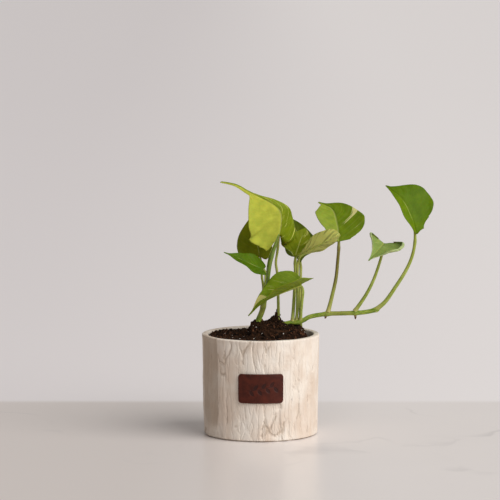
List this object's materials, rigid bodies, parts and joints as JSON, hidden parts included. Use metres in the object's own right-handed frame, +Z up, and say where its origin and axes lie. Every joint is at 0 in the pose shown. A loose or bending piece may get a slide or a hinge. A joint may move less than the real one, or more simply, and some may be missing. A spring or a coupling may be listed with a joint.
{
  "type": "potted pothos plant",
  "caption": "Pothos plant with variegated heart-shaped leaves and one trailing vine, growing in soil in a round bark-textured cement pot with a leather label.",
  "frame": {"origin": "middle of the pot's flat foot", "axes": "+Z up the pot's axis, -Y out of the label, +X the way the trailing vine runs"},
  "size_m": [0.1966, 0.1008, 0.2152],
  "materials": {
    "cement": "matt cast cement",
    "leather": "smooth leather",
    "peat": "loose potting soil",
    "vine": "satin living stem",
    "stalk": "satin living stalk",
    "dark_leaf": "waxy leaf",
    "lime_leaf": "waxy leaf"
  },
  "bodies": {
    "root": {"cement_pot": "cement", "leather_label": "leather", "soil": "peat", "main_stem": "vine", "new_leaf_spear": "dark_leaf", "runner": "vine", "stalk_a": "stalk", "leaf_a": "lime_leaf", "stalk_b": "stalk", "leaf_b": "dark_leaf", "stalk_c": "stalk", "leaf_c": "dark_leaf", "stalk_d": "stalk", "leaf_d": "dark_leaf", "stalk_e": "stalk", "leaf_e": "dark_leaf", "stalk_f": "stalk", "leaf_f": "lime_leaf", "stalk_g": "stalk", "leaf_g": "dark_leaf", "stalk_h": "stalk", "leaf_h": "lime_leaf", "stalk_i": "stalk", "leaf_i": "dark_leaf", "stalk_j": "stalk", "leaf_j": "dark_leaf"}
  },
  "joints": []
}
